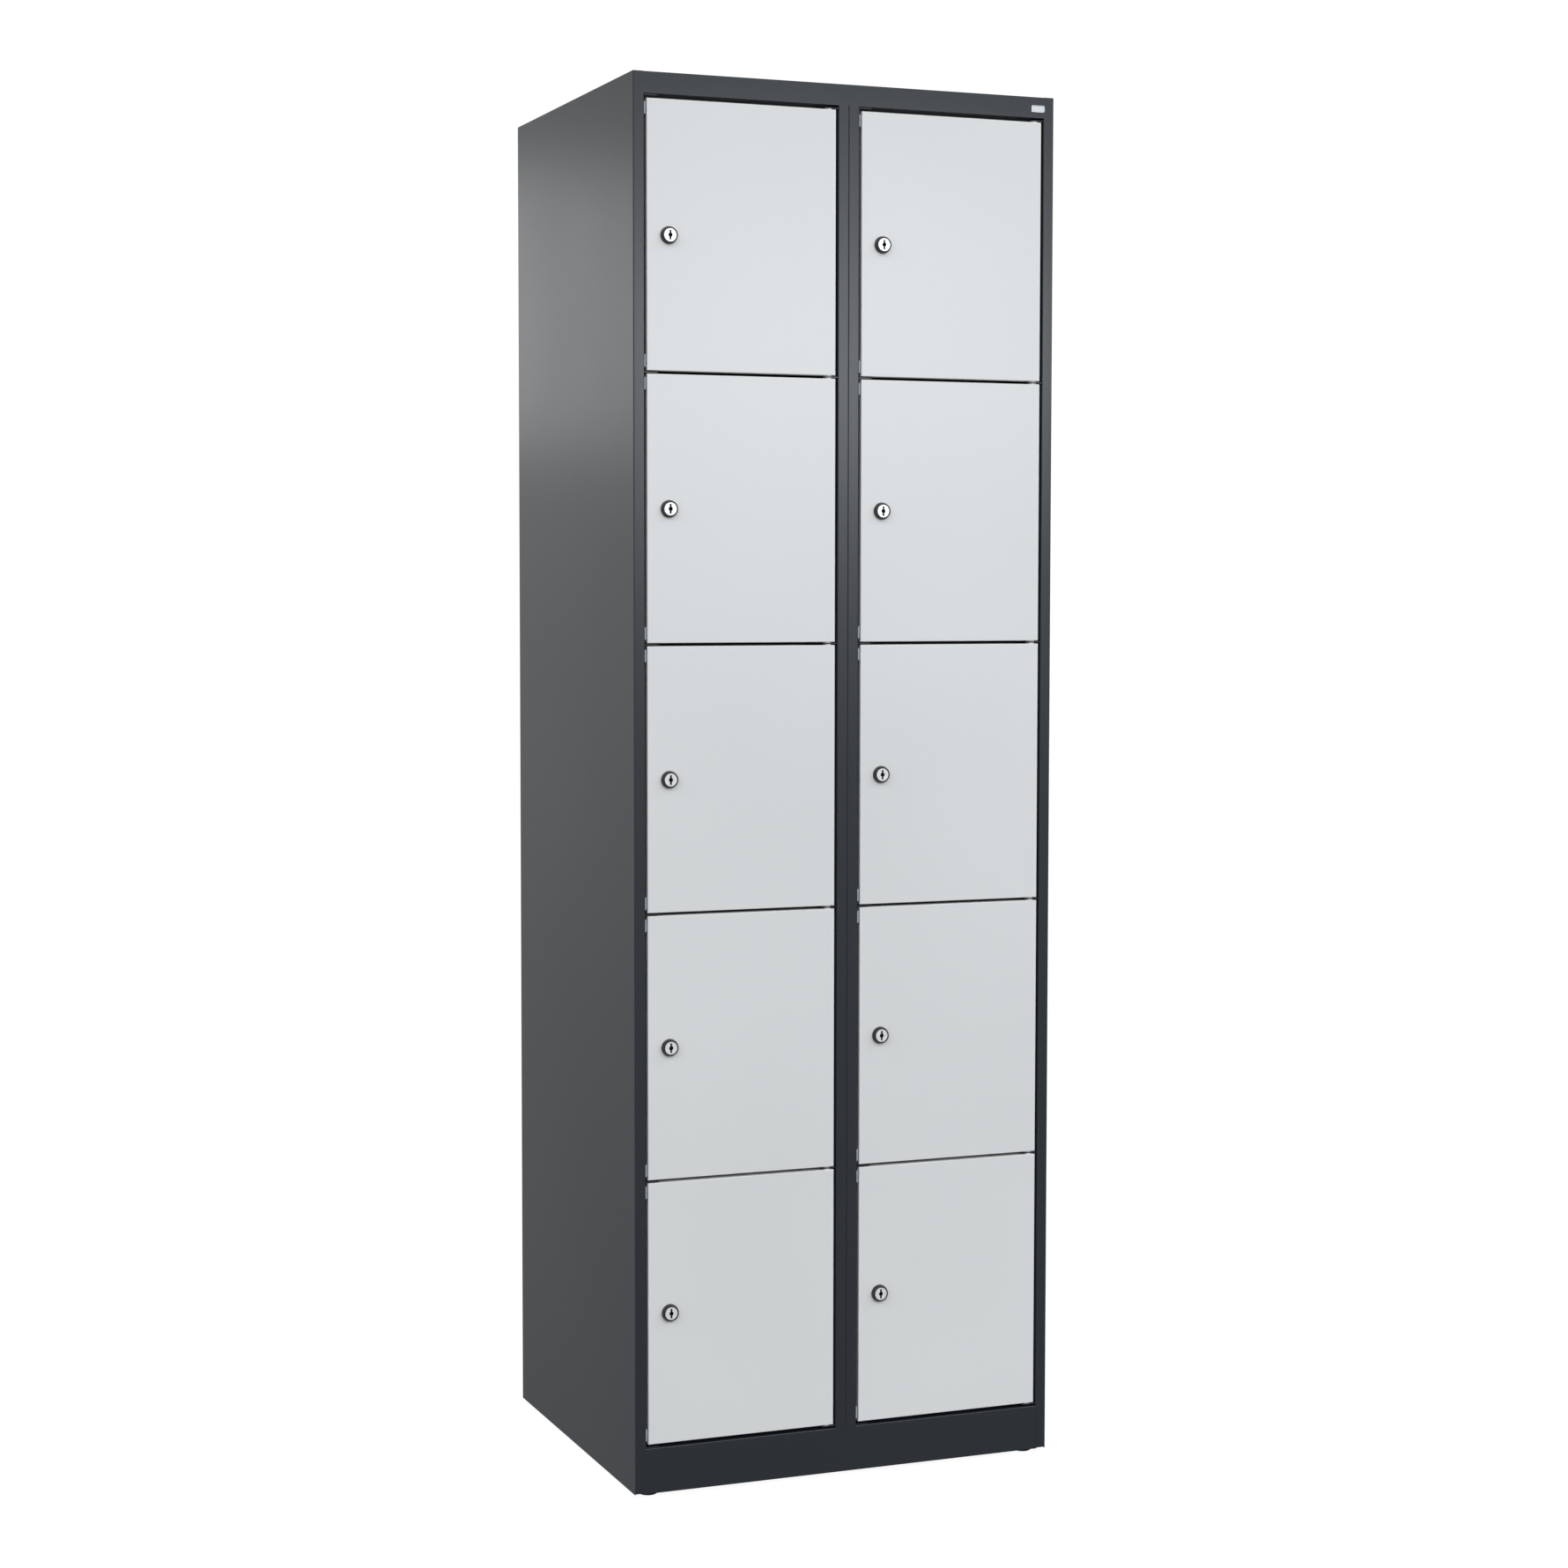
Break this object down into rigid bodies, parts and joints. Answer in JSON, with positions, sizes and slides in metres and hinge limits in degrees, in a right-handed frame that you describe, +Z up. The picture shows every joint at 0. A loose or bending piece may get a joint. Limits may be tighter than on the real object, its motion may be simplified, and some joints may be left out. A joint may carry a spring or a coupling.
{
  "type": "steel compartment locker",
  "caption": "Tall steel locker with two columns of square compartments, each closed by a flush sheet door with a cylinder cam lock, on levelling feet.",
  "frame": {"origin": "on the floor under the middle of the outer box, with the feet fully in", "axes": "+Z up, the doors face -Y, +X to the right when facing the doors"},
  "size_m": [0.6, 0.506, 1.85],
  "materials": {
    "carcass_paint": "anthracite grey powder coat, semi-matt with fine orange peel",
    "door_paint": "light grey powder coat, semi-matt with fine orange peel",
    "lock_plastic": "black moulded plastic, semi-matt",
    "lock_metal": "nickel plated, lightly brushed face",
    "zinc_steel": "bright zinc plated",
    "bush_nylon": "white nylon, slightly translucent looking",
    "buffer_rubber": "light grey soft rubber",
    "foot_plastic": "black moulded plastic on a zinc plated stud",
    "plate_aluminium": "satin anodised, blank"
  },
  "bodies": {
    "carcass": {"side_panel_left": "carcass_paint", "side_panel_right": "carcass_paint", "partition_left": "carcass_paint", "partition_right": "carcass_paint", "roof_panel": "carcass_paint", "plinth_rail": "carcass_paint", "base_panel": "carcass_paint", "back_panel": "carcass_paint", "shelves_level_1": "carcass_paint", "shelves_level_2": "carcass_paint", "shelves_level_3": "carcass_paint", "shelves_level_4": "carcass_paint", "hinge_tabs": "carcass_paint", "hinge_pins": "zinc_steel", "door_buffers": "buffer_rubber", "maker_plate": "plate_aluminium"},
    "door_A1": {"door_A1": "door_paint", "hinge_bushes_A1": "bush_nylon", "lock_case_A1": "lock_plastic"},
    "lock_A1": {"lock_cylinder_A1": "lock_metal"},
    "door_A2": {"door_A2": "door_paint", "hinge_bushes_A2": "bush_nylon", "lock_case_A2": "lock_plastic"},
    "lock_A2": {"lock_cylinder_A2": "lock_metal"},
    "door_A3": {"door_A3": "door_paint", "hinge_bushes_A3": "bush_nylon", "lock_case_A3": "lock_plastic"},
    "lock_A3": {"lock_cylinder_A3": "lock_metal"},
    "door_A4": {"door_A4": "door_paint", "hinge_bushes_A4": "bush_nylon", "lock_case_A4": "lock_plastic"},
    "lock_A4": {"lock_cylinder_A4": "lock_metal"},
    "door_A5": {"door_A5": "door_paint", "hinge_bushes_A5": "bush_nylon", "lock_case_A5": "lock_plastic"},
    "lock_A5": {"lock_cylinder_A5": "lock_metal"},
    "door_B1": {"door_B1": "door_paint", "hinge_bushes_B1": "bush_nylon", "lock_case_B1": "lock_plastic"},
    "lock_B1": {"lock_cylinder_B1": "lock_metal"},
    "door_B2": {"door_B2": "door_paint", "hinge_bushes_B2": "bush_nylon", "lock_case_B2": "lock_plastic"},
    "lock_B2": {"lock_cylinder_B2": "lock_metal"},
    "door_B3": {"door_B3": "door_paint", "hinge_bushes_B3": "bush_nylon", "lock_case_B3": "lock_plastic"},
    "lock_B3": {"lock_cylinder_B3": "lock_metal"},
    "door_B4": {"door_B4": "door_paint", "hinge_bushes_B4": "bush_nylon", "lock_case_B4": "lock_plastic"},
    "lock_B4": {"lock_cylinder_B4": "lock_metal"},
    "door_B5": {"door_B5": "door_paint", "hinge_bushes_B5": "bush_nylon", "lock_case_B5": "lock_plastic"},
    "lock_B5": {"lock_cylinder_B5": "lock_metal"},
    "foot_front_left": {"foot_front_left": "foot_plastic"},
    "foot_front_right": {"foot_front_right": "foot_plastic"},
    "foot_rear_left": {"foot_rear_left": "foot_plastic"},
    "foot_rear_right": {"foot_rear_right": "foot_plastic"}
  },
  "joints": [
    {"name": "door_A1_hinge", "type": "hinge", "parent": "carcass", "child": "door_A1", "pos_m": [-0.0273, -0.24, 1.6435], "axis": [0, 0, 1], "range_deg": [0, 110]},
    {"name": "lock_A1_turn", "type": "hinge", "parent": "door_A1", "child": "lock_A1", "pos_m": [-0.2515, -0.247, 1.6435], "axis": [0, 1, 0], "range_deg": [0, 90]},
    {"name": "door_A2_hinge", "type": "hinge", "parent": "carcass", "child": "door_A2", "pos_m": [-0.0273, -0.24, 1.2935], "axis": [0, 0, 1], "range_deg": [0, 110]},
    {"name": "lock_A2_turn", "type": "hinge", "parent": "door_A2", "child": "lock_A2", "pos_m": [-0.2515, -0.247, 1.2935], "axis": [0, 1, 0], "range_deg": [0, 90]},
    {"name": "door_A3_hinge", "type": "hinge", "parent": "carcass", "child": "door_A3", "pos_m": [-0.0273, -0.24, 0.9435], "axis": [0, 0, 1], "range_deg": [0, 110]},
    {"name": "lock_A3_turn", "type": "hinge", "parent": "door_A3", "child": "lock_A3", "pos_m": [-0.2515, -0.247, 0.9435], "axis": [0, 1, 0], "range_deg": [0, 90]},
    {"name": "door_A4_hinge", "type": "hinge", "parent": "carcass", "child": "door_A4", "pos_m": [-0.0273, -0.24, 0.5935], "axis": [0, 0, 1], "range_deg": [0, 110]},
    {"name": "lock_A4_turn", "type": "hinge", "parent": "door_A4", "child": "lock_A4", "pos_m": [-0.2515, -0.247, 0.5935], "axis": [0, 1, 0], "range_deg": [0, 90]},
    {"name": "door_A5_hinge", "type": "hinge", "parent": "carcass", "child": "door_A5", "pos_m": [-0.0273, -0.24, 0.2435], "axis": [0, 0, 1], "range_deg": [0, 110]},
    {"name": "lock_A5_turn", "type": "hinge", "parent": "door_A5", "child": "lock_A5", "pos_m": [-0.2515, -0.247, 0.2435], "axis": [0, 1, 0], "range_deg": [0, 90]},
    {"name": "door_B1_hinge", "type": "hinge", "parent": "carcass", "child": "door_B1", "pos_m": [0.2727, -0.24, 1.6435], "axis": [0, 0, 1], "range_deg": [0, 110]},
    {"name": "lock_B1_turn", "type": "hinge", "parent": "door_B1", "child": "lock_B1", "pos_m": [0.0485, -0.247, 1.6435], "axis": [0, 1, 0], "range_deg": [0, 90]},
    {"name": "door_B2_hinge", "type": "hinge", "parent": "carcass", "child": "door_B2", "pos_m": [0.2727, -0.24, 1.2935], "axis": [0, 0, 1], "range_deg": [0, 110]},
    {"name": "lock_B2_turn", "type": "hinge", "parent": "door_B2", "child": "lock_B2", "pos_m": [0.0485, -0.247, 1.2935], "axis": [0, 1, 0], "range_deg": [0, 90]},
    {"name": "door_B3_hinge", "type": "hinge", "parent": "carcass", "child": "door_B3", "pos_m": [0.2727, -0.24, 0.9435], "axis": [0, 0, 1], "range_deg": [0, 110]},
    {"name": "lock_B3_turn", "type": "hinge", "parent": "door_B3", "child": "lock_B3", "pos_m": [0.0485, -0.247, 0.9435], "axis": [0, 1, 0], "range_deg": [0, 90]},
    {"name": "door_B4_hinge", "type": "hinge", "parent": "carcass", "child": "door_B4", "pos_m": [0.2727, -0.24, 0.5935], "axis": [0, 0, 1], "range_deg": [0, 110]},
    {"name": "lock_B4_turn", "type": "hinge", "parent": "door_B4", "child": "lock_B4", "pos_m": [0.0485, -0.247, 0.5935], "axis": [0, 1, 0], "range_deg": [0, 90]},
    {"name": "door_B5_hinge", "type": "hinge", "parent": "carcass", "child": "door_B5", "pos_m": [0.2727, -0.24, 0.2435], "axis": [0, 0, 1], "range_deg": [0, 110]},
    {"name": "lock_B5_turn", "type": "hinge", "parent": "door_B5", "child": "lock_B5", "pos_m": [0.0485, -0.247, 0.2435], "axis": [0, 1, 0], "range_deg": [0, 90]},
    {"name": "foot_front_left_thread", "type": "slide", "parent": "carcass", "child": "foot_front_left", "axis": [0, 0, -1], "range_m": [0, 0.02]},
    {"name": "foot_front_right_thread", "type": "slide", "parent": "carcass", "child": "foot_front_right", "axis": [0, 0, -1], "range_m": [0, 0.02]},
    {"name": "foot_rear_left_thread", "type": "slide", "parent": "carcass", "child": "foot_rear_left", "axis": [0, 0, -1], "range_m": [0, 0.02]},
    {"name": "foot_rear_right_thread", "type": "slide", "parent": "carcass", "child": "foot_rear_right", "axis": [0, 0, -1], "range_m": [0, 0.02]}
  ]
}
